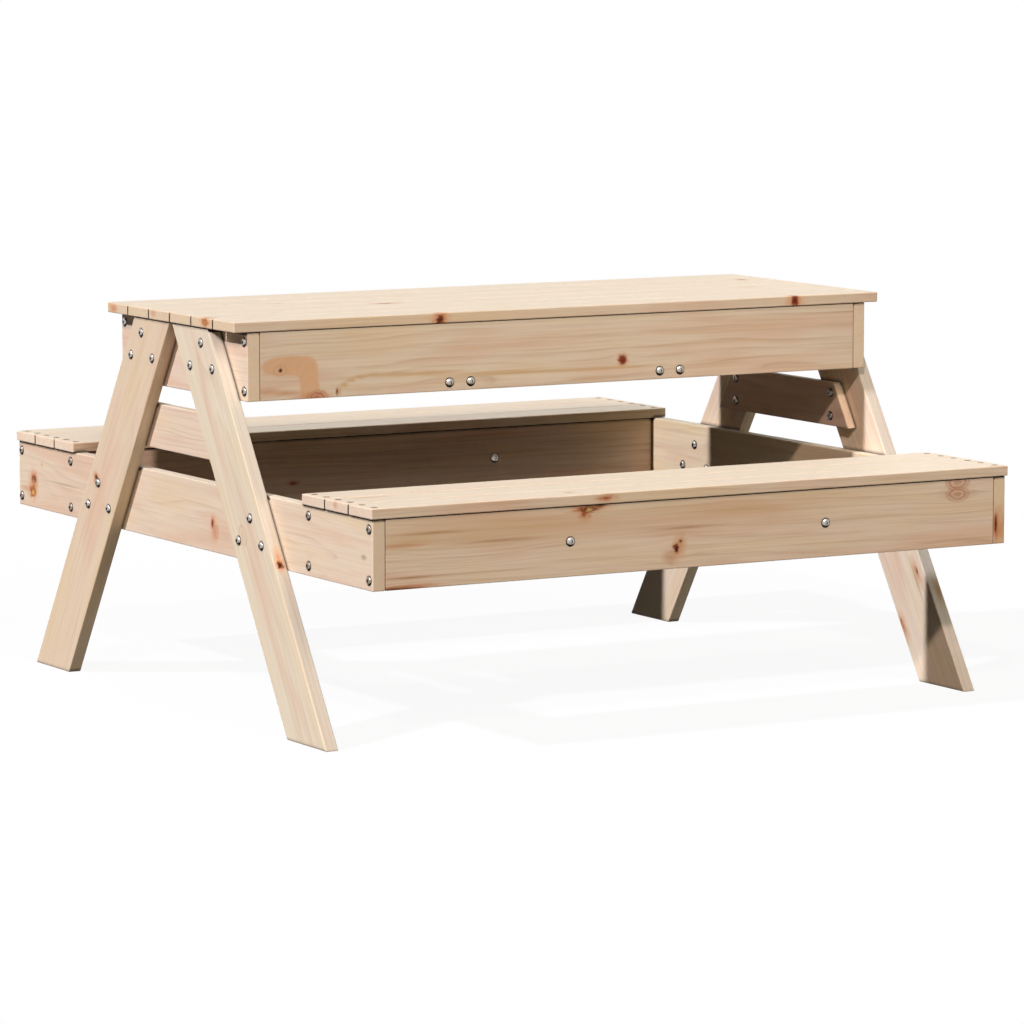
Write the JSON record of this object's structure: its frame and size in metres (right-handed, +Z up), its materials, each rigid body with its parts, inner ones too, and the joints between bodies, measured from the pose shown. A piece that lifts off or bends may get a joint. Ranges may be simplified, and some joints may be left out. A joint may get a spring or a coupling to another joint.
{
  "type": "picnic table with sandbox",
  "caption": "Low A-frame picnic table of planed pine with a plank bench along each side and a tabletop that lifts off a shallow sandbox.",
  "frame": {"origin": "on the floor, under the middle of the tabletop", "axes": "+Z up; X along the benches and the tabletop's length; Y across the table from the front bench (-Y) to the rear bench (+Y)"},
  "size_m": [1.106, 1.169, 0.58],
  "materials": {
    "pine_board": "planed, untreated pine",
    "pine_plank": "planed, untreated pine",
    "plywood": "raw plywood",
    "zinc_steel": "bright zinc plated"
  },
  "bodies": {
    "frame": {"leg_front_left": "pine_board", "leg_front_right": "pine_board", "leg_rear_left": "pine_board", "leg_rear_right": "pine_board", "end_board_left": "pine_board", "end_board_right": "pine_board", "crossbar_left": "pine_plank", "crossbar_right": "pine_plank", "bench_front_outer_apron": "pine_board", "bench_front_inner_apron": "pine_board", "bench_rear_outer_apron": "pine_board", "bench_rear_inner_apron": "pine_board", "bench_front_web_left": "pine_board", "bench_front_web_right": "pine_board", "bench_rear_web_left": "pine_board", "bench_rear_web_right": "pine_board", "seat_front_plank_1": "pine_plank", "seat_front_plank_2": "pine_plank", "seat_front_plank_3": "pine_plank", "seat_rear_plank_1": "pine_plank", "seat_rear_plank_2": "pine_plank", "seat_rear_plank_3": "pine_plank", "sandbox_end_left": "pine_board", "sandbox_end_right": "pine_board", "sandbox_side_front": "pine_board", "sandbox_side_rear": "pine_board", "sandbox_slat_left": "pine_plank", "sandbox_slat_right": "pine_plank", "sandbox_floor": "plywood", "leg_bolt_front_left_1": "zinc_steel", "leg_bolt_front_left_2": "zinc_steel", "leg_bolt_front_left_3": "zinc_steel", "leg_bolt_front_right_1": "zinc_steel", "leg_bolt_front_right_2": "zinc_steel", "leg_bolt_front_right_3": "zinc_steel", "leg_bolt_rear_left_1": "zinc_steel", "leg_bolt_rear_left_2": "zinc_steel", "leg_bolt_rear_left_3": "zinc_steel", "leg_bolt_rear_right_1": "zinc_steel", "leg_bolt_rear_right_2": "zinc_steel", "leg_bolt_rear_right_3": "zinc_steel"},
    "lid": {"lid_plank_1": "pine_plank", "lid_plank_2": "pine_plank", "lid_plank_3": "pine_plank", "lid_plank_4": "pine_plank", "lid_plank_5": "pine_plank", "lid_plank_6": "pine_plank", "lid_batten_left": "pine_plank", "lid_batten_right": "pine_plank"}
  },
  "joints": [
    {"name": "lid_lift", "type": "slide", "parent": "frame", "child": "lid", "axis": [0, 0, 1], "range_m": [0, 0.3]}
  ]
}
